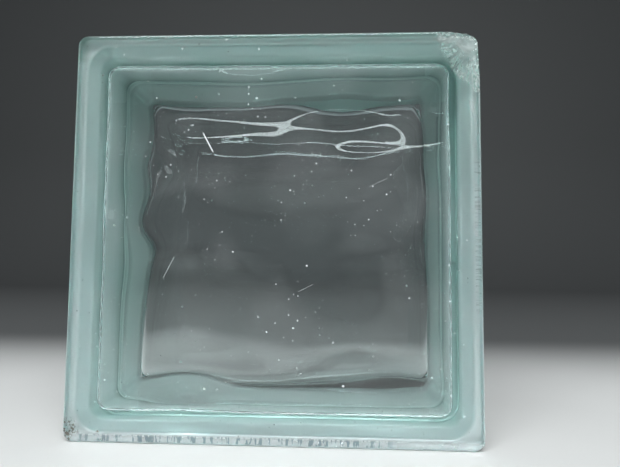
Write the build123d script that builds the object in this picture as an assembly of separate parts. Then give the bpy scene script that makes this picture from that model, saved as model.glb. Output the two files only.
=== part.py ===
from build123d import *
import math
import os

# Hollow glass block, 190 x 190 x 80 mm, standing on its edge as it does in a wall.
# Two glass halves are pressed as open pans and fused mouth to mouth at a seam half-way through the depth.
# +X runs across the face, +Z up the face, and -Y out of the front face. The origin is at the bottom centre.
# Each half is drawn first with its seam in the XY plane and its face upwards, then stood up.

# Whole block
face_size = 190.0
block_depth = 80.0

# Flange round each face
face_corner_radius = 5.0
face_edge_radius = 1.5
rim_thickness = 7.0
rim_back_radius = 1.2

# Mortar channel round the side of each half
channel_shoulder = 3.6
channel_depth = 7.8
channel_foot_depth = 14.3
channel_corner_radius = 7.0
channel_root_radius = 2.5
channel_foot_radius = 6.0

# Seam where the halves are fused
seam_setback = 4.8
seam_corner_radius = 8.0
bead_rise = 0.9
bead_half_width = 1.8
bead_radius = 0.8

# Cavity: its rounded end lies a wave's depth beyond the floor's mean level
pane_thickness = 9.0
seam_wall = 6.0
foot_wall = 4.4
mouth_corner_radius = 7.0
floor_rounding = 5.0
floor_inner_corner = 1.0
wave_dip = 2.0

# Pressed wave pattern inside each pane: (across, up, reach across, reach up, rise) of each soft swell
swells = [
    (-57.0, 34.0, 8.0, 9.0, 2.1),
    (-43.0, -7.0, 11.0, 6.0, -1.7),
    (-71.0, 6.0, 8.0, 7.0, -1.7),
    (-79.0, -17.0, 10.0, 8.0, 1.0),
    (-44.0, -56.0, 10.0, 14.0, 1.2),
    (-41.0, -74.0, 12.0, 6.0, 2.4),
    (51.0, -69.0, 27.0, 7.0, 1.8),
    (1.0, -84.0, 23.0, 6.0, -1.1),
    (-53.0, 61.0, 31.0, 11.0, 1.3),
    (-13.0, 36.0, 19.0, 13.0, -2.0),
    (32.0, 64.0, 20.0, 8.0, 2.2),
    (39.0, 33.0, 23.0, 7.0, -2.0),
    (78.0, 63.0, 14.0, 11.0, 2.8),
    (27.0, 2.0, 28.0, 23.0, 2.2),
    (56.0, -2.0, 8.0, 13.0, -1.5),
    (-18.0, -48.0, 19.0, 16.0, 1.2),
    (-11.0, 89.0, 25.0, 7.0, 2.0),
    (-47.0, 40.0, 12.0, 11.0, -1.2),
    (4.0, 54.0, 9.0, 12.0, 0.5),
]
wave_grid_step = 5.0
wave_margin = 6.0

# Shell-shaped chip at the front face's upper right corner
chip_across = 19.0
chip_down = 29.0
chip_bulge = 4.0
chip_depth = 4.0

# Sizes that follow from the ones above
half_depth = block_depth / 2
face_half = face_size / 2
shoulder_half = face_half - channel_shoulder
foot_half = face_half - channel_depth
seam_half = face_half - seam_setback
mouth_half = seam_half - seam_wall
floor_half = foot_half - foot_wall
rim_back = half_depth - rim_thickness
foot_level = half_depth - channel_foot_depth
floor_level = half_depth - pane_thickness
end_level = floor_level + wave_dip
same = 0.01


def rounded_square(half_width, corner_radius, level):
    """A square with rounded corners, at a level above the seam plane."""
    return Plane.XY.offset(level) * RectangleRounded(2 * half_width, 2 * half_width, corner_radius)


def frustum(lower, upper):
    """A solid between two rounded squares, each given as (half width, corner radius, level)."""
    return loft([rounded_square(*lower), rounded_square(*upper)], ruled=True)


def ring_edges(solid, half_width, level):
    """The edges of a solid that run round the block's axis at one half width and one level."""
    found = []
    for edge in solid.edges():
        box = edge.bounding_box()
        reach = max(abs(box.min.X), abs(box.max.X), abs(box.min.Y), abs(box.max.Y))
        in_level = abs(box.min.Z - level) < same and abs(box.max.Z - level) < same
        if in_level and abs(reach - half_width) < same:
            found.append(edge)
    return found


def side_form():
    """The outside of a pressed half: flange, mortar channel and wall down to the seam."""
    flange = extrude(rounded_square(face_half, face_corner_radius, rim_back), rim_thickness)
    shoulder = frustum(
        (foot_half, channel_corner_radius, foot_level),
        (shoulder_half, channel_corner_radius, rim_back),
    )
    wall = frustum(
        (seam_half, seam_corner_radius, 0),
        (foot_half, channel_corner_radius, foot_level),
    )
    form = flange + shoulder + wall
    form = fillet(ring_edges(form, foot_half, foot_level), channel_foot_radius)
    form = fillet(ring_edges(form, shoulder_half, rim_back), channel_root_radius)
    form = fillet(ring_edges(form, face_half, rim_back), rim_back_radius)
    return fillet(ring_edges(form, face_half, half_depth), face_edge_radius)


def seam_bead():
    """Half of the rounded ridge of glass squeezed out at the seam."""
    ridge_half = seam_half + bead_rise
    ridge = extrude(rounded_square(ridge_half, seam_corner_radius, 0), bead_half_width)
    return fillet(ring_edges(ridge, ridge_half, bead_half_width), bead_radius)


def wave_rise(across, up):
    """How far the pane's inner surface swells into the cavity at one place."""
    return sum(
        rise * math.exp(-(((across - x) / reach_across) ** 2 + ((up - y) / reach_up) ** 2) / 2)
        for x, y, reach_across, reach_up, rise in swells
    )


def waved_ground():
    """Glass beyond the waved inner surface of the pane, wider than the cavity."""
    reach = floor_half + wave_margin
    steps = round(2 * reach / wave_grid_step)
    places = [reach * (2 * step / steps - 1) for step in range(steps + 1)]
    grid = [[Vector(x, y, floor_level - wave_rise(x, y)) for y in places] for x in places]
    waved_surface = Face.make_surface_from_array_of_points(grid)
    return extrude(waved_surface, half_depth, dir=(0, 0, 1))


def cavity():
    """The hollow of a pressed half: drafted walls and a rounded end, which the waved floor cuts across."""
    draft = (mouth_half - floor_half) / floor_level
    end_half = mouth_half - draft * end_level
    end_corner_radius = floor_rounding + floor_inner_corner
    hollow = frustum((mouth_half, mouth_corner_radius, 0), (end_half, end_corner_radius, end_level))
    hollow = fillet(ring_edges(hollow, end_half, end_level), floor_rounding)
    return hollow - waved_ground()


def chip():
    """The ball that leaves a shell-shaped break at the face's corner."""
    chord = math.hypot(chip_across, chip_down)
    break_radius = (chord**2 / 4 + chip_bulge**2) / (2 * chip_bulge)
    reach = break_radius - chip_bulge
    across = -chip_across / 2 + reach * chip_down / chord
    up = -chip_down / 2 + reach * chip_across / chord
    corner_gap_squared = across**2 + up**2
    lift = (break_radius**2 - corner_gap_squared - chip_depth**2) / (2 * chip_depth)
    ball_radius = math.hypot(break_radius, lift)
    return Pos(face_half + across, face_half + up, half_depth + lift) * Sphere(ball_radius)


def pressed_half():
    """One half as it leaves the press, face upwards."""
    return side_form() + seam_bead() - cavity()


def stood_up(half):
    """A half turned upright, with its face to the front and its lower edge at the floor."""
    return Pos(0, 0, face_half) * Rot(90, 0, 0) * half


def main():
    """Write both halves. They come from one mould, and the rear one is turned about the upright axis."""
    whole = pressed_half()
    front = stood_up(whole - chip())
    rear = Rot(0, 0, 180) * stood_up(whole)
    front.label = "front_half"
    rear.label = "rear_half"
    os.makedirs("parts", exist_ok=True)
    export_step(front, "parts/front_half.step")
    export_step(rear, "parts/rear_half.step")


main()
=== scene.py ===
import math

import bmesh
import bpy
import numpy as np
from mathutils import Matrix, Quaternion, Vector, noise


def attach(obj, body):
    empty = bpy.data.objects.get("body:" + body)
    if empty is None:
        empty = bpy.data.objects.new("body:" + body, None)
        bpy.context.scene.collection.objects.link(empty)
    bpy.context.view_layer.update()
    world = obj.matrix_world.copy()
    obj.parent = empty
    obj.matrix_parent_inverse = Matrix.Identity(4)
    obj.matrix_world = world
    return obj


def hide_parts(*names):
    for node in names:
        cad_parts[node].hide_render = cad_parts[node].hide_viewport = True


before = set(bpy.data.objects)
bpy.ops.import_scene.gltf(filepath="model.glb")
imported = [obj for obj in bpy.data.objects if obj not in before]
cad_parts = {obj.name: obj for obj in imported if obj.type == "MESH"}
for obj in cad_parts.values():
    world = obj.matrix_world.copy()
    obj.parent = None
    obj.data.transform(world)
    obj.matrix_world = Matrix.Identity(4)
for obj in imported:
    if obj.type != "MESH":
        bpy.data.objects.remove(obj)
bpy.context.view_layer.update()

mm = 0.001

# Sizes of the block in millimetres, the same as in the part
face_half = 95.0
half_depth = 40.0
face_corner_radius = 5.0
face_edge_radius = 1.5
rim_thickness = 7.0
rim_back_radius = 1.2
channel_shoulder = 3.6
channel_depth = 7.8
channel_foot_depth = 14.3
channel_corner_radius = 7.0
channel_root_radius = 2.5
channel_foot_radius = 6.0
seam_setback = 4.8
bead_rise = 0.9
bead_half_width = 1.8
pane_thickness = 9.0
seam_wall = 6.0
foot_wall = 4.4
mouth_corner_radius = 7.0
floor_corner_radius = 6.0
floor_fillet = 3.0

# The fine ridge inside the seam
seam_ridge = 0.25
seam_ridge_reach = 0.6

shoulder_half = face_half - channel_shoulder
foot_half = face_half - channel_depth
seam_half = face_half - seam_setback
mouth_half = seam_half - seam_wall
floor_half = foot_half - foot_wall
rim_back = half_depth - rim_thickness
foot_level = half_depth - channel_foot_depth
floor_level = half_depth - pane_thickness

# Pressed waves inside each pane: (across, up, reach across, reach up, rise) of each soft swell
swells = [
    (-57.0, 34.0, 8.0, 9.0, 1.75),
    (-43.0, -7.0, 11.0, 6.0, -1.7),
    (-71.0, 6.0, 8.0, 7.0, -1.7),
    (-79.0, -17.0, 10.0, 8.0, 1.0),
    (-44.0, -56.0, 10.0, 14.0, 1.2),
    (-41.0, -74.0, 12.0, 6.0, 2.4),
    (51.0, -69.0, 27.0, 7.0, 1.8),
    (1.0, -84.0, 23.0, 6.0, -1.1),
    (-53.0, 61.0, 31.0, 11.0, 1.3),
    (-13.0, 36.0, 19.0, 13.0, -2.0),
    (32.0, 64.0, 20.0, 8.0, 2.2),
    (39.0, 33.0, 23.0, 7.0, -2.0),
    (78.0, 63.0, 14.0, 11.0, 2.8),
    (27.0, 2.0, 28.0, 23.0, 2.2),
    (56.0, -2.0, 8.0, 13.0, -1.5),
    (-18.0, -48.0, 19.0, 16.0, 1.2),
    (-11.0, 89.0, 25.0, 7.0, 2.0),
    (-47.0, 40.0, 12.0, 11.0, -1.2),
    (4.0, 54.0, 9.0, 12.0, 0.5),
]

# The chip at the front's upper right corner
chip_across = 19.0
chip_down = 29.0
chip_bulge = 4.0
chip_depth = 4.0
chip_step = 0.4
torn_reach = 1.2
ripple_rise = 0.10
ripple_turn = 2.6
ripple_wander = 2.2
wander_scale = 0.22
noise_layer = 3.0
blow_inset_across = 3.0
blow_inset_up = 2.0

# Marks on the front face, in millimetres from its centre: (start, end, width, strength)
scratches = [
    ((-33.2, 47.3), (-28.3, 38.3), 0.34, 1.0),
    ((-50.2, -20.4), (-45.4, -10.7), 0.22, 0.35),
    ((12.0, -26.0), (19.0, -22.5), 0.16, 0.3),
    ((44.0, 22.0), (52.5, 26.0), 0.15, 0.3),
]
chip_cracks = [
    ((90.9, 61.5), (92.4, 54.5), 0.20, 0.6),
    ((92.4, 54.5), (93.0, 46.0), 0.18, 0.5),
    ((89.6, 62.0), (91.2, 54.3), 0.17, 0.45),
]
# (place, reach) of each patch of dust and each spot of dirt
dusty_patches = [((-39.5, 51.1), 9), ((16.8, 52.2), 8), ((58.0, 12.3), 16), ((6.3, -47.7), 22)]
dark_spots = [((-78.4, -89.9), 0.8), ((-82.0, 75.4), 0.6), ((-36.9, 64.4), 0.6)]
dirty_corner = (-93, -39, -90)

# Rows of press ticks: where each starts, is whole from, is whole to, and ends
low_ticks_across, low_ticks_up = (-90, -86, 50, 62), (-94.6, -93.9, -91.6, -90.8)
side_ticks_across, side_ticks_up = (91.2, 91.8, 93.8, 94.4), (-36, -30, 30, 38)
# The painted highlight over the lower edge is whole below the first height and ends at the second
lower_edge_painted_highlight = (-92.0, -89.5)

# Colours of the glass and of what lies on it
glass_depth_colour = (0.22, 0.83, 0.78, 1)
glass_depth_density = 8.5
# pale film for dust and scratches, also used for the painted highlight along the lower edge
face_dust_and_painted_highlight_colour = (0.88, 0.91, 0.92, 1)
tick_colour = (0.15, 0.19, 0.21, 1)
dirt_colour = (0.11, 0.09, 0.07, 1)
rear_dust_colour = (0.78, 0.80, 0.78, 1)
shell_colour = (0.76, 0.84, 0.81, 1)
ray_colour = (0.20, 0.31, 0.28, 1)
pit_colour = (0.22, 0.33, 0.30, 1)

# Colours of the coat, seen through the glass and from outside
coat_thick = (0.925, 0.95, 0.94, 1)
coat_thin = (0.98, 0.985, 0.985, 1)
coat_by_rim = (0.985, 0.99, 1.0, 1)
# painted shade: a darker, greener coat on the upper walls, where less light falls
coat_painted_shade_high_up = (0.83, 0.88, 0.86, 1)
coat_bare = (0.45, 0.56, 0.52, 1)
# painted shade: a darker coat on the rear half's side and top walls
coat_painted_shade_rear = (0.62, 0.72, 0.69, 1)
coat_near_seam = (0.42, 0.53, 0.50, 1)
coat_at_seam = (0.36, 0.46, 0.43, 1)
# painted highlight: a bright spot on the top wall's coat
coat_painted_highlight = (0.99, 0.99, 0.99, 1)
spray_dark = (0.58, 0.62, 0.60, 1)
spray_pale = (0.68, 0.71, 0.69, 1)
coat_dust = (0.53, 0.51, 0.46, 1)
coat_rubbed = (0.42, 0.51, 0.48, 1)

# Colours of the paper that the block stands on: pale round the block as a painted pool of light,
# darker grey towards its front and back
paper_dark = (0.55, 0.55, 0.54, 1)
paper_pale = (0.61, 0.61, 0.60, 1)
paper_front = (0.30, 0.30, 0.295, 1)
paper_back = (0.075, 0.078, 0.078, 1)
# Where the painted pool of pale paper starts and ends its change to these two, in millimetres
# through
painted_pool_front_range = (-130, -330)
painted_pool_back_range = (42, 280)

# Lamps: (name, place, size, power), in metres and watts
lamps = [
    ("key_lamp", (-0.05, -0.82, 1.5), (1.5, 0.5), 33),
    ("left_lamp", (-1.4, -0.7, 0.75), (0.9, 0.9), 6.5),
    ("right_lamp", (1.4, -0.7, 0.75), (0.9, 0.9), 6.5),
    ("strip_lamp", (-0.07, -1.15, 1.05), (1.16, 0.024), 1.6),
]
lamp_aim = (0, 0, 0.1)
lamp_colour = (0.95, 0.985, 1.0)
sky_colour = (0.9, 0.95, 1.0, 1)
sky_strength = 0.22

GLASS, COAT, BREAK = 0, 1, 2


def wave_rise(across, up):
    """How far the pane's inner surface swells into the cavity, for arrays of places."""
    total = np.zeros_like(across)
    for x, y, reach_x, reach_y, rise in swells:
        far = ((across - x) / reach_x) ** 2 / 2 + ((up - y) / reach_y) ** 2 / 2
        total += rise * np.exp(-far)
    return total


def ring(half, corner_radius, side_steps, corner_steps):
    """Points of a rounded square, anticlockwise seen from the face, from the right's middle."""
    straight = half - corner_radius
    half_steps = side_steps // 2
    quarter = [(half, straight * step / half_steps) for step in range(half_steps)]
    for step in range(corner_steps):
        angle = math.pi / 2 * step / corner_steps
        quarter.append(
            (straight + corner_radius * math.cos(angle), straight + corner_radius * math.sin(angle))
        )
    quarter += [(straight * (1 - step / half_steps), half) for step in range(half_steps)]
    points = []
    for cosine, sine in ((1, 0), (0, 1), (-1, 0), (0, -1)):
        points += [(cosine * x - sine * y, sine * x + cosine * y) for x, y in quarter]
    return np.array(points)


def rounded_line(corners, radii, steps):
    """A line through corners with an arc of the given radius at each inner one."""
    line = [corners[0]]
    for before, corner, after, radius in zip(corners, corners[1:], corners[2:], radii):
        a, p, b = Vector(before), Vector(corner), Vector(after)
        to_a = (a - p).normalized()
        to_b = (b - p).normalized()
        between = to_a.angle(to_b)
        trim = radius / math.tan(between / 2)
        centre = p + (to_a + to_b).normalized() * radius / math.sin(between / 2)
        start = p + to_a * trim - centre
        end = p + to_b * trim - centre
        for step in range(steps + 1):
            swept = start.normalized().slerp(end.normalized(), step / steps) * radius
            line.append(tuple(centre + swept))
    line.append(corners[-1])
    return line


def side_profile():
    """(half width, level) down the outside of one half, from the face's flat to the seam."""
    flat_reach, before_edge, before_bead, arc_steps = 4, 0.1, 0.3, 6
    corners = [
        (face_half - flat_reach, half_depth),
        (face_half, half_depth),
        (face_half, rim_back),
        (shoulder_half, rim_back),
        (foot_half, foot_level),
        (seam_half, 0),
    ]
    radii = [face_edge_radius, rim_back_radius, channel_root_radius, channel_foot_radius]
    line = rounded_line(corners, radii, arc_steps)[:-1]
    line.insert(1, (face_half - face_edge_radius - before_edge, half_depth))
    wall_slope = (seam_half - foot_half) / foot_level
    bead_foot = seam_half - wall_slope * bead_half_width
    line.append((bead_foot, bead_half_width + before_bead))
    for step in range(arc_steps + 1):
        angle = math.pi / 2 * step / arc_steps
        line.append((bead_foot + bead_rise * math.sin(angle), bead_half_width * math.cos(angle)))
    return line


def corner_of(half, level):
    """The outside's corner radius at one place of the side profile."""
    at_shoulder = channel_corner_radius + shoulder_half - foot_half
    slack = 0.01
    if level > rim_back + slack:
        return max(1.0, face_corner_radius - (face_half - half))
    if level > rim_back - slack and half > shoulder_half:
        share = min(1, (half - shoulder_half) / (face_half - shoulder_half))
        return at_shoulder + share * (face_corner_radius - at_shoulder)
    return channel_corner_radius + half - foot_half


def skinned(mesh, rings):
    """A closed skin over rings of equal count, with a cap on the first and the last."""
    rows = [[mesh.verts.new(point) for point in points] for points in rings]
    faces = []
    for lower, upper in zip(rows, rows[1:]):
        count = len(lower)
        for i in range(count):
            j = (i + 1) % count
            faces.append(mesh.faces.new((upper[i], upper[j], lower[j], lower[i])))
    faces.append(mesh.faces.new(rows[0]))
    faces.append(mesh.faces.new(list(reversed(rows[-1]))))
    return faces


def in_front(points, levels):
    """Points of the front half, in metres: levels are measured from the seam to the face."""
    depth = np.broadcast_to(levels, points[:, 0].shape)
    return [Vector((x, -y, z + face_half)) * mm for (x, z), y in zip(points, depth)]


def turned_round(points):
    """A front ring's twin in the rear half, turned about the upright axis, in the same order."""
    count = len(points)
    start = count // 2
    twins = (points[(start - i) % count] for i in range(count))
    return [Vector((-p.x, -p.y, p.z)) for p in twins]


def outer_shell():
    """The outside of the whole block, from the front face to the rear face."""
    side_steps, corner_steps, coat_slack = 24, 12, 0.05
    mesh = bmesh.new()
    front = []
    for half, level in side_profile():
        shape = ring(half, corner_of(half, level), side_steps, corner_steps)
        front.append(in_front(shape, level))
    rear = [[Vector((p.x, -p.y, p.z)) for p in points] for points in front[-2::-1]]
    faces = skinned(mesh, front + rear)
    coat_reach = (half_depth - face_edge_radius + coat_slack) * mm
    for face in faces:
        coated = max(abs(vert.co.y) for vert in face.verts) < coat_reach
        face.material_index = COAT if coated else GLASS
    return mesh


def cavity_rings():
    """Rings of the front half's cavity, from the middle of the waved floor to the seam's ridge."""
    side_steps, corner_steps = 96, 16
    floor_steps, fillet_steps, wall_steps, ridge_steps = 56, 10, 6, 4
    flat_half = floor_half - floor_fillet
    flat_edge = ring(flat_half, floor_corner_radius - floor_fillet, side_steps, corner_steps)
    wall_edge = ring(floor_half, floor_corner_radius, side_steps, corner_steps)
    mouth = ring(mouth_half, mouth_corner_radius, side_steps, corner_steps)
    rings = []
    for step in range(1, floor_steps + 1):
        shape = flat_edge * (step / floor_steps)
        rings.append(in_front(shape, floor_level - wave_rise(shape[:, 0], shape[:, 1])))
    edge_level = floor_level - wave_rise(flat_edge[:, 0], flat_edge[:, 1])
    for step in range(1, fillet_steps + 1):
        angle = math.pi / 2 * step / fillet_steps
        shape = flat_edge + (wall_edge - flat_edge) * math.sin(angle)
        rings.append(in_front(shape, edge_level - floor_fillet * (1 - math.cos(angle))))
    foot = edge_level - floor_fillet
    for step in range(1, wall_steps + 1):
        share = step / wall_steps
        shape = wall_edge + (mouth - wall_edge) * share
        rings.append(in_front(shape, foot * (1 - share) + seam_ridge_reach * share))
    for step in range(1, ridge_steps + 1):
        angle = math.pi / 2 * step / ridge_steps
        shape = mouth * (1 - seam_ridge / mouth_half * math.sin(angle))
        rings.append(in_front(shape, seam_ridge_reach * math.cos(angle)))
    return rings


def add_cavity(mesh):
    """The sealed hollow, as a second closed skin that faces inwards."""
    front = cavity_rings()
    rear = [turned_round(points) for points in front[-2::-1]]
    for face in skinned(mesh, front + rear):
        face.material_index = GLASS
        face.normal_flip()


def chip_ball():
    """Centre (across, up), height over the face and radius of the ball that the chip follows."""
    chord = math.hypot(chip_across, chip_down)
    break_radius = (chord**2 / 4 + chip_bulge**2) / (2 * chip_bulge)
    reach = break_radius - chip_bulge
    x = face_half - chip_across / 2 + reach * chip_down / chord
    y = face_half - chip_down / 2 + reach * chip_across / chord
    gap_squared = (x - face_half) ** 2 + (y - face_half) ** 2
    lift = (break_radius**2 - gap_squared - chip_depth**2) / (2 * chip_depth)
    return x, y, lift, math.hypot(break_radius, lift)


def hackle_at(angle, blow, torn):
    """Fine ridges that fan out from the blow, stronger on the torn edge."""
    ridges_round, ridges_along, layer = 14, 0.12, 7.0
    height = 0.14 + 0.10 * torn
    return noise.noise(Vector((angle * ridges_round, blow * ridges_along, layer))) * height


def crumbs_at(across, up, torn):
    """Small lumps, and larger ones bitten out of the block's top edge."""
    place = Vector((across, up, noise_layer))
    small_height = 0.04 + 0.04 * torn
    small = noise.fractal(place * 0.9, 0.9, 2.1, 4) * small_height
    top_reach, nibble_start, nibble_run, large_height = 1.6, 82, 12, 1.1
    near_top = math.exp(-((face_half - up) / top_reach) ** 2)
    nibbled = min(1, max(0, (across - nibble_start) / nibble_run))
    large = noise.fractal(place * 0.75 + Vector((9, 4, 1)), 0.8, 2.0, 4)
    return small + (large + 0.7 * nibbled) * large_height * near_top


def chip_depth_at(across, up):
    """Depth of the break below the face: a shell with ripples round the blow, and a torn edge."""
    x, y, lift, ball_radius = chip_ball()
    depth = math.sqrt(ball_radius**2 - math.hypot(across - x, up - y) ** 2) - lift
    from_blow_across = across - face_half + blow_inset_across
    from_blow_up = up - face_half + blow_inset_up
    blow = math.hypot(from_blow_across, from_blow_up)
    torn = min(1, max(0, 1 - abs(depth) / torn_reach))
    wander = ripple_wander * noise.noise(Vector((across, up, noise_layer)) * wander_scale)
    ripple = math.sin(blow * ripple_turn + wander) * ripple_rise
    hackle = hackle_at(math.atan2(from_blow_up, from_blow_across), blow, torn)
    return depth + ripple * (1 - torn) + hackle + crumbs_at(across, up, torn)


def chip_tool():
    """A closed block of grid whose lower side is the broken surface."""
    mesh = bmesh.new()
    grid_across, grid_down, past_edge, highest, lid_height = 24, 35, 2, 1.5, 3
    low_x, low_z, high = face_half - grid_across, face_half - grid_down, face_half + past_edge
    columns = int((high - low_x) / chip_step) + 1
    rows = int((high - low_z) / chip_step) + 1
    grid, lid = [], []
    for i in range(columns):
        x = low_x + i * chip_step
        floor_row, lid_row = [], []
        for z in (low_z + j * chip_step for j in range(rows)):
            depth = max(-highest, chip_depth_at(x, z))
            floor_row.append(Vector((x, depth - half_depth, z + face_half)) * mm)
            lid_row.append(Vector((x, -half_depth - lid_height, z + face_half)) * mm)
        grid.append([mesh.verts.new(place) for place in floor_row])
        lid.append([mesh.verts.new(place) for place in lid_row])
    for i in range(columns - 1):
        for j in range(rows - 1):
            mesh.faces.new((grid[i][j], grid[i][j + 1], grid[i + 1][j + 1], grid[i + 1][j]))
            mesh.faces.new((lid[i][j], lid[i + 1][j], lid[i + 1][j + 1], lid[i][j + 1]))
    for i in range(columns - 1):
        mesh.faces.new((grid[i][0], grid[i + 1][0], lid[i + 1][0], lid[i][0]))
        mesh.faces.new((grid[i + 1][-1], grid[i][-1], lid[i][-1], lid[i + 1][-1]))
    for j in range(rows - 1):
        mesh.faces.new((grid[0][j + 1], grid[0][j], lid[0][j], lid[0][j + 1]))
        mesh.faces.new((grid[-1][j], grid[-1][j + 1], lid[-1][j + 1], lid[-1][j]))
    bmesh.ops.recalc_face_normals(mesh, faces=mesh.faces)
    for face in mesh.faces:
        face.material_index = BREAK
    return mesh


def placed(name, built):
    """An object in the scene from a mesh in the making."""
    mesh = bpy.data.meshes.new(name)
    built.to_mesh(mesh)
    built.free()
    made = bpy.data.objects.new(name, mesh)
    bpy.context.scene.collection.objects.link(made)
    return made


def glass_mesh():
    """The whole block's glass: its chipped outside and the hollow in it."""
    shell = placed("shell", outer_shell())
    tool = placed("chip", chip_tool())
    cut = shell.modifiers.new("chip", "BOOLEAN")
    cut.operation = "DIFFERENCE"
    cut.solver = "EXACT"
    cut.object = tool
    bpy.context.view_layer.update()
    depsgraph = bpy.context.evaluated_depsgraph_get()
    chipped = bpy.data.meshes.new_from_object(shell.evaluated_get(depsgraph))
    mesh = bmesh.new()
    mesh.from_mesh(chipped)
    for made in (shell, tool):
        bpy.data.objects.remove(made)
    add_cavity(mesh)
    for face in mesh.faces:
        face.smooth = True
    for edge in mesh.edges:
        kinds = {face.material_index for face in edge.link_faces}
        edge.smooth = not (BREAK in kinds and len(kinds) > 1)
    for face in mesh.faces:
        if face.material_index == BREAK:
            face.material_index = GLASS
    return mesh


class Finish:
    """A material in the making. Every node in it comes from its node method."""

    def __init__(self, name):
        self.material = bpy.data.materials.new(name)
        self.material.use_nodes = True
        self.tree = self.material.node_tree
        self.tree.nodes.clear()

    def node(self, kind, settings=None, **sockets):
        """A new node. A socket is named by its words with _ between, or by _ and its number."""
        made = self.tree.nodes.new("ShaderNode" + kind)
        for name, value in (settings or {}).items():
            setattr(made, name, value)
        for name, value in sockets.items():
            by_number = name[0] == "_"
            socket = made.inputs[int(name[1:]) if by_number else name.replace("_", " ")]
            if isinstance(value, Amount):
                self.tree.links.new(value.socket, socket)
            elif isinstance(value, bpy.types.NodeSocket):
                self.tree.links.new(value, socket)
            else:
                socket.default_value = value
        return made

    def math(self, operation, first, second=0.0):
        """One sum of numbers or amounts."""
        made = self.node("Math", {"operation": operation}, _0=first, _1=second)
        return Amount(self, made.outputs[0])

    def stretched(self, spot, factors, shift=(0, 0, 0)):
        """The place times three factors, and moved."""
        settings = {"operation": "MULTIPLY_ADD"}
        return self.node("VectorMath", settings, _0=spot, _1=factors, _2=shift).outputs[0]

    def moved(self, spot, shift):
        """The place, moved."""
        return self.stretched(spot, (1, 1, 1), shift)

    def spot(self):
        """The place on the block in millimetres, from its centre."""
        place = self.node("TexCoord").outputs["Object"]
        return self.stretched(place, (1000,) * 3, (0, 0, -face_half))

    def parts(self, spot):
        """The place across, through and up, as three amounts."""
        return [Amount(self, socket) for socket in self.node("SeparateXYZ", _0=spot).outputs]

    def clouds(self, spot, size, detail=2.0, roughness=0.5):
        """Soft noise from 0 to 1 with lumps of about the given size."""
        made = self.node(
            "TexNoise", Vector=spot, Scale=1 / size, Detail=detail, Roughness=roughness
        )
        return Amount(self, made.outputs[0])

    def rise(self, amount, low, high):
        """0 up to low and 1 from high on, with a soft step between, or the other way round."""
        settings = {"interpolation_type": "SMOOTHSTEP"}
        return Amount(self, self.node("MapRange", settings, _0=amount, _1=low, _2=high).outputs[0])

    def between(self, amount, start, whole_from, whole_to, end):
        """1 from one value to another, with a soft step before and after."""
        return self.rise(amount, start, whole_from) * self.rise(amount, end, whole_to)

    def tint(self, share, first, second):
        """A colour between two."""
        return self.node("Mix", {"data_type": "RGBA"}, _0=share, _6=first, _7=second).outputs[2]

    def distance(self, spot, centre):
        """How far the place is from a centre."""
        made = self.node("VectorMath", {"operation": "DISTANCE"}, _0=spot, _1=centre)
        return Amount(self, made.outputs["Value"])

    def near(self, spot, centre, inner, outer):
        """1 within the inner distance of a centre, falling to 0 at the outer one."""
        return self.rise(self.distance(spot, centre), outer, inner)

    def bumps(self, height):
        """A normal from a height in millimetres."""
        return self.node("Bump", Height=height, Distance=mm, Strength=1.0).outputs[0]


class Amount:
    """A number that varies over a surface, with sums written as Python expressions."""

    def __init__(self, finish, socket):
        self.finish = finish
        self.socket = socket

    def __add__(self, other):
        return self.finish.math("ADD", self, other)

    __radd__ = __add__

    def __sub__(self, other):
        return self.finish.math("SUBTRACT", self, other)

    def __rsub__(self, other):
        return self.finish.math("SUBTRACT", other, self)

    def __mul__(self, other):
        return self.finish.math("MULTIPLY", self, other)

    __rmul__ = __mul__


def specks(finish, spot, cell, largest):
    """Round specks of random size, one in each cell of the given size."""
    soft_edge = 0.1
    cells = finish.node("TexVoronoi", Vector=spot, Scale=1 / cell)
    chance = Amount(finish, finish.node("SeparateColor", _0=cells.outputs["Color"]).outputs[0])
    reach = chance * chance * chance * largest
    from_middle = Amount(finish, cells.outputs["Distance"]) * cell
    return finish.rise(reach - from_middle, 0.0, soft_edge)


def scratch(finish, across, up, start, end, width):
    """A thin straight scratch from start to end."""
    taper, core = 0.4, 0.3
    length = math.dist(start, end)
    run_x, run_y = (end[0] - start[0]) / length, (end[1] - start[1]) / length
    along = (across - start[0]) * run_x + (up - start[1]) * run_y
    beside = finish.math("ABSOLUTE", (across - start[0]) * run_y - (up - start[1]) * run_x)
    from_start = finish.rise(along, -taper, taper)
    before_end = finish.rise(along, length + taper, length - taper)
    return finish.rise(beside, width, width * core) * (from_start * before_end)


def either(first, second):
    """One cover over another."""
    return 1 - (1 - first) * (1 - second)


def face_place(centre):
    """A place on the front face, from (across, up)."""
    return centre[0], -half_depth, centre[1]


def dust_on_glass(finish, spot):
    """Fine and coarse dust, thicker in some patches, and a thin haze."""
    patches = finish.rise(finish.clouds(spot, size=34, detail=1), 0.44, 0.66)
    for centre, reach in dusty_patches:
        patches = either(patches, finish.near(spot, face_place(centre), reach * 0.3, reach))
    fine_share = 0.15 + 0.8 * patches
    coarse_share, smear_share, least_haze = 0.85, 0.06, 0.006
    fine = specks(finish, spot, cell=2.0, largest=0.46) * fine_share
    elsewhere = finish.moved(spot, (31, 7, 12))
    coarse = specks(finish, elsewhere, cell=8.0, largest=0.72) * coarse_share
    smears = finish.clouds(finish.stretched(spot, (0.6, 1, 1)), size=9, detail=3, roughness=0.62)
    haze = smears * patches * smear_share + least_haze
    return either(either(fine, coarse), haze)


def marks_on_face(finish, across, up):
    """Scratches, and the cracks that run down from the chip."""
    marks = 0.0
    for start, end, width, strength in scratches + chip_cracks:
        marks = either(marks, scratch(finish, across, up, start, end, width) * strength)
    return marks


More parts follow.
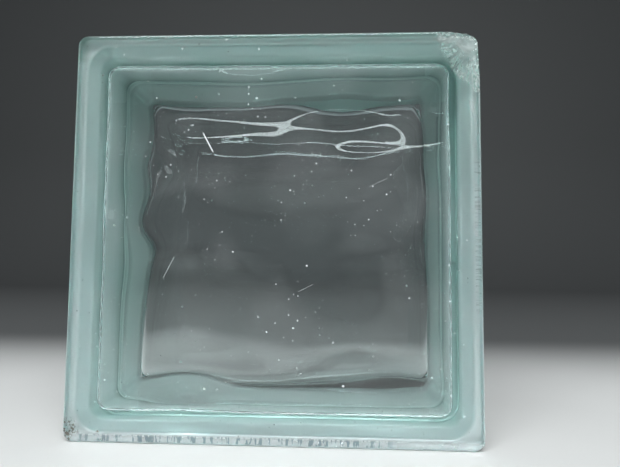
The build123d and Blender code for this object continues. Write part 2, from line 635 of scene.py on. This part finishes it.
def press_ticks(finish, spot, across, up):
    """Short grey ticks along the face's lower edge, and fainter ones on its right edge."""
    low_stretch = finish.stretched(spot, (1, 0, 0.2))
    low_grain = finish.clouds(low_stretch, size=1.5, detail=3, roughness=0.6)
    low_row = finish.between(across, *low_ticks_across) * finish.between(up, *low_ticks_up)
    side_stretch = finish.stretched(spot, (0.1, 0, 1))
    side_grain = finish.clouds(side_stretch, size=1.1, detail=3, roughness=0.6)
    side_row = finish.between(across, *side_ticks_across) * finish.between(up, *side_ticks_up)
    side_share = 0.4
    low = finish.rise(low_grain, 0.49, 0.55) * low_row
    return low + finish.rise(side_grain, 0.50, 0.62) * side_row * side_share


def painted_lower_edge_highlight(finish, spot, up):
    """A thin matt film of painted highlight that brightens the face just over its lower edge."""
    whole, end = lower_edge_painted_highlight
    return finish.rise(up, end, whole) * (0.20 + 0.2 * finish.clouds(spot, size=5))


def corner_dirt(finish, spot):
    """Dark crumbs of dirt at the lower left corner, and a few single spots."""
    lumps = finish.clouds(spot, size=1.3, detail=4, roughness=0.65)
    dirt = finish.rise(lumps, 0.51, 0.55) * finish.near(spot, dirty_corner, inner=4.0, outer=7.0)
    for centre, reach in dark_spots:
        dirt = either(dirt, finish.near(spot, face_place(centre), reach * 0.5, reach))
    return dirt


def glass_surface(finish, **sockets):
    """Clear glass without a tint of its own on the surface."""
    white = (1, 1, 1, 1)
    return finish.node(
        "BsdfPrincipled", Base_Color=white, IOR=1.52, Transmission_Weight=1.0, **sockets
    )


def mixed(finish, share, beneath, above):
    """Two surfaces, the second over a share of the first."""
    return finish.node("MixShader", _0=share, _1=beneath.outputs[0], _2=above.outputs[0])


def covered(finish, share, beneath, colour):
    """A surface with a matt film over a share of it."""
    film = finish.node("BsdfPrincipled", Base_Color=colour, Roughness=0.8)
    return mixed(finish, share, beneath, film)


def front_face(finish, spot, across, up):
    """The polished face, with dust, scratches, press ticks and a little dirt on it, and a painted
    highlight along its lower edge.
    """
    dust = dust_on_glass(finish, spot)
    marks = marks_on_face(finish, across, up)
    ticks = press_ticks(finish, spot, across, up)
    dirt = corner_dirt(finish, spot)
    # painted highlight: a pale film that brightens the face along its lower edge
    pale_film = painted_lower_edge_highlight(finish, spot, up)
    cover = either(either(either(dust, marks), pale_film), either(ticks * 0.65, dirt * 0.9))
    colour = finish.tint(ticks, face_dust_and_painted_highlight_colour, tick_colour)
    colour = finish.tint(dirt, colour, dirt_colour)
    return covered(finish, cover, glass_surface(finish, Roughness=0.0), colour)


def rear_face(finish, spot):
    """The rear face, which only dust covers."""
    polished = glass_surface(finish, Roughness=0.0)
    return covered(finish, dust_on_glass(finish, spot), polished, rear_dust_colour)


def drawn_wall(finish, spot):
    """The cavity's walls, with fine streaks along them from the press."""
    streak_height = 0.02
    streaks = finish.clouds(finish.stretched(spot, (0.012, 1, 0.012)), size=1.3, detail=1)
    return glass_surface(finish, Roughness=0.0, Normal=finish.bumps(streaks * streak_height))


def broken_corner(finish, spot, across, up):
    """The chip: smooth pale shells, dark rays out from the blow, and crushed glass at the edges."""
    blow_across, blow_up = face_half - blow_inset_across, face_half - blow_inset_up
    angle = finish.math("ARCTAN2", up - blow_up, across - blow_across)
    out = finish.distance(spot, (blow_across, -half_depth, blow_up))
    rays_start, rays_whole, rays_round, rays_along = 7, 13, 15, 0.22
    relief_height = 0.06
    fan = finish.node("CombineXYZ", _0=angle * rays_round, _1=out * rays_along).outputs[0]
    rays = finish.rise(finish.clouds(fan, size=1.0, detail=3, roughness=0.6), 0.49, 0.60)
    rays = rays * finish.rise(out, rays_start, rays_whole)
    top_edge = finish.rise(up, 89.5, 93.0)
    right_edge = finish.rise(across, 91.5, 93.5) * finish.rise(up, 82, 74)
    outer_edge = either(top_edge, right_edge)
    grit = finish.clouds(spot, size=1.5, detail=4, roughness=0.7)
    crushed = finish.rise(grit, 0.48, 0.62) * outer_edge * 0.50
    pale_film = 0.03 + 0.13 * finish.rise(finish.clouds(spot, size=7, detail=1), 0.40, 0.60)
    cover = either(either(crushed, pale_film), rays * 0.6)
    pitted = finish.clouds(finish.moved(spot, (5, 3, 8)), size=1.4)
    pits = finish.rise(pitted, 0.52, 0.58) * outer_edge
    colour = finish.tint(rays, shell_colour, ray_colour)
    colour = finish.tint(pits * 0.8, colour, pit_colour)
    relief = finish.bumps(finish.clouds(spot, size=1.8, roughness=0.6) * relief_height)
    beneath = glass_surface(finish, Roughness=0.03 + 0.2 * grit * outer_edge, Normal=relief)
    return covered(finish, cover, beneath, colour)


def pressed_glass():
    """Pressed soda-lime glass with a pale green depth."""
    finish = Finish("pressed_glass")
    spot = finish.spot()
    across, through, up = finish.parts(spot)
    x, y, lift, ball_radius = chip_ball()
    ball_centre = (x, -half_depth - lift, y)
    inside_ball, outside_ball = ball_radius + 0.2, ball_radius + 0.45
    broken = finish.near(spot, ball_centre, inside_ball, outside_ball)
    from_seam = finish.math("ABSOLUTE", through)
    face_start, face_whole = half_depth - 1.0, half_depth - 0.8
    wall_start, wall_whole = 26.0, 25.0
    regions = (
        (finish.rise(through, face_start, face_whole), rear_face(finish, spot)),
        (finish.rise(from_seam, wall_start, wall_whole), drawn_wall(finish, spot)),
        (finish.rise(through, -face_start, -face_whole), front_face(finish, spot, across, up)),
        (broken, broken_corner(finish, spot, across, up)),
    )
    surface = glass_surface(finish, Roughness=0.0)
    for share, region in regions:
        surface = mixed(finish, share, surface, region)
    depth = finish.node(
        "VolumeAbsorption", Color=glass_depth_colour, Density=glass_depth_density
    )
    finish.node("OutputMaterial", Surface=surface.outputs[0], Volume=depth.outputs[0])
    return finish.material


def bonded_coat(finish, spot):
    """The coat as it shows through the glass, with a slight shine; painted shade darkens its upper
    and rear walls, and a painted highlight brightens a spot on the top wall.
    """
    across, through, up = finish.parts(spot)
    from_seam = finish.math("ABSOLUTE", through)
    along_depth = finish.stretched(spot, (0.01, 1, 0.01))
    streaks = finish.clouds(along_depth, size=1.1, detail=4, roughness=0.65)
    patches = finish.clouds(spot, size=22, detail=3)
    thin = finish.rise(streaks * 0.6 + patches * 0.4, 0.42, 0.60)
    bare = finish.rise(across, -89.5, -94.0) * finish.rise(up, 81.5, 85.5)
    # painted shade: the rear half's walls darker, all but the bottom wall
    painted_rear_shade = finish.rise(through, -16, -4) * finish.rise(up, -88, -40)
    by_seam = finish.rise(from_seam, 8.0, 2.0) * (0.3 + 0.3 * finish.rise(up, -88, -60))
    # painted highlight: a soft bright spot on the top wall
    painted_highlight_spot = finish.near(finish.stretched(spot, (0.45, 1, 1)), (-23, -21, 87), inner=3, outer=8)
    colour = finish.tint(thin, coat_thick, coat_thin)
    for share, changed in (
        (finish.rise(from_seam, 25.0, 26.5), coat_by_rim),
        # painted shade, growing towards the top wall
        (finish.rise(up, -20, 90) * 0.75, coat_painted_shade_high_up),
        (bare * 0.6, coat_bare),
        (painted_rear_shade * 0.75, coat_painted_shade_rear),
        (by_seam, coat_near_seam),
        (finish.rise(from_seam, 1.0, 0.6), coat_at_seam),
        (painted_highlight_spot, coat_painted_highlight),
    ):
        colour = finish.tint(share, colour, changed)
    coat = finish.node("BsdfPrincipled", Base_Color=colour, Metallic=0.25, Roughness=0.2)
    coat.inputs["Specular IOR Level"].default_value = 0.0
    return coat


def weathered_coat(finish, spot):
    """The coat's outside: matt spray, a little dusty, and rubbed in places."""
    spray_height, rubbed_height = 0.05, -0.04
    spray = finish.clouds(spot, size=0.7, detail=3, roughness=0.6)
    rubbed = finish.rise(finish.clouds(spot, size=7, detail=5, roughness=0.68), 0.56, 0.70)
    dusty = finish.rise(finish.clouds(spot, size=18, detail=4, roughness=0.6), 0.40, 0.75)
    colour = finish.tint(spray, spray_dark, spray_pale)
    colour = finish.tint(dusty * 0.5, colour, coat_dust)
    colour = finish.tint(rubbed * 0.55, colour, coat_rubbed)
    relief = finish.bumps(spray * spray_height + rubbed * rubbed_height)
    return finish.node("BsdfPrincipled", Base_Color=colour, Roughness=0.75, Normal=relief)


def side_coat():
    """The pale coat that is sprayed round the sides, seen from outside and through the glass."""
    finish = Finish("side_coat")
    spot = finish.spot()
    from_within = finish.node("NewGeometry").outputs["Backfacing"]
    both = mixed(finish, from_within, weathered_coat(finish, spot), bonded_coat(finish, spot))
    finish.node("OutputMaterial", Surface=both.outputs[0])
    return finish.material


def make_glass_block():
    """The block, which shows both halves of the part."""
    block = placed("glass_block", glass_mesh())
    for material in (pressed_glass(), side_coat()):
        block.data.materials.append(material)
    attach(block, "root")
    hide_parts("front_half", "rear_half")


def studio_paper():
    """The sweep's paper: pale round the block as a painted pool of light, and a quiet grey towards
    its front and back.
    """
    finish = Finish("studio_paper")
    spot = finish.spot()
    through = finish.parts(spot)[1]
    grain = finish.clouds(spot, size=0.9, detail=3, roughness=0.6)
    blotches = finish.clouds(spot, size=60)
    colour = finish.tint(grain * 0.5 + blotches * 0.5, paper_dark, paper_pale)
    # painted pool of light: the paper darkens away from the block, to the front and to the back
    colour = finish.tint(finish.rise(through, *painted_pool_front_range), colour, paper_front)
    colour = finish.tint(finish.rise(through, *painted_pool_back_range), colour, paper_back)
    surface = finish.node("BsdfPrincipled", Base_Color=colour, Roughness=0.7)
    finish.node("OutputMaterial", Surface=surface.outputs[0])
    return finish.material


def make_stage():
    """A pale floor that curves up behind the block."""
    floor_front, bend_start, bend_radius, bend_steps = -5.0, 1.2, 0.6, 12
    wall_top, side = 3.0, 7.0
    outline = [(floor_front, 0.0), (bend_start, 0.0)]
    for step in range(1, bend_steps + 1):
        angle = math.pi / 2 * step / bend_steps
        y = bend_start + bend_radius * math.sin(angle)
        outline.append((y, bend_radius * (1 - math.cos(angle))))
    outline.append((bend_start + bend_radius, wall_top))
    mesh = bmesh.new()
    rows = [[mesh.verts.new((x, y, z)) for x in (-side, side)] for y, z in outline]
    for lower, upper in zip(rows, rows[1:]):
        face = mesh.faces.new((lower[0], lower[1], upper[1], upper[0]))
        face.smooth = True
    floor = placed("floor", mesh)
    floor.data.materials.append(studio_paper())


def make_light():
    """Soft lamps in front and at both sides, a thin strip in front, and a low even sky."""
    for name, place, size, power in lamps:
        light = bpy.data.lights.new(name, "AREA")
        light.shape = "RECTANGLE"
        light.size, light.size_y = size
        light.energy = power
        light.color = lamp_colour
        lamp = bpy.data.objects.new(name, light)
        lamp.location = place
        lamp.rotation_mode = "QUATERNION"
        lamp.rotation_quaternion = (Vector(lamp_aim) - Vector(place)).to_track_quat("-Z", "Y")
        bpy.context.scene.collection.objects.link(lamp)
    world = bpy.data.worlds.new("studio")
    world.use_nodes = True
    background = world.node_tree.nodes["Background"]
    background.inputs["Color"].default_value = sky_colour
    background.inputs["Strength"].default_value = sky_strength
    bpy.context.scene.world = world


def make_camera():
    """The photograph's camera: close to the front face, a little right of and below its middle."""
    turn_degrees = (-3.60, 2.49, 0.41)
    shift = Vector((-17.2, 0.4, 213.3))
    focal_pixels, picture_width = 466, 620
    sensor_width, nearest = 36, 0.01
    turn = Vector([math.radians(angle) for angle in turn_degrees])
    rows = Quaternion(turn.normalized(), turn.length).to_matrix()
    centre = -(rows.transposed() @ shift)

    def to_block(v):
        """From right, down and ahead to the block's across, through and up."""
        return Vector((v.x, v.z, -v.y))

    right, down, ahead = (to_block(row) for row in rows)
    matrix = Matrix((right, -down, -ahead)).transposed().to_4x4()
    matrix.translation = Vector((centre.x, centre.z - half_depth, face_half - centre.y)) * mm
    camera = bpy.data.cameras.new("camera")
    camera.sensor_width = sensor_width
    camera.lens = focal_pixels / picture_width * sensor_width
    camera.clip_start = nearest
    seat = bpy.data.objects.new("camera", camera)
    seat.matrix_world = matrix
    bpy.context.scene.collection.objects.link(seat)
    bpy.context.scene.camera = seat


make_glass_block()
make_stage()
make_light()
make_camera()
bpy.context.scene.view_settings.view_transform = "Standard"
bpy.context.scene.cycles.diffuse_bounces = 8
bpy.context.scene.cycles.glossy_bounces = 8
bpy.context.scene.cycles.max_bounces = 16
bpy.context.scene.cycles.blur_glossy = 0.0
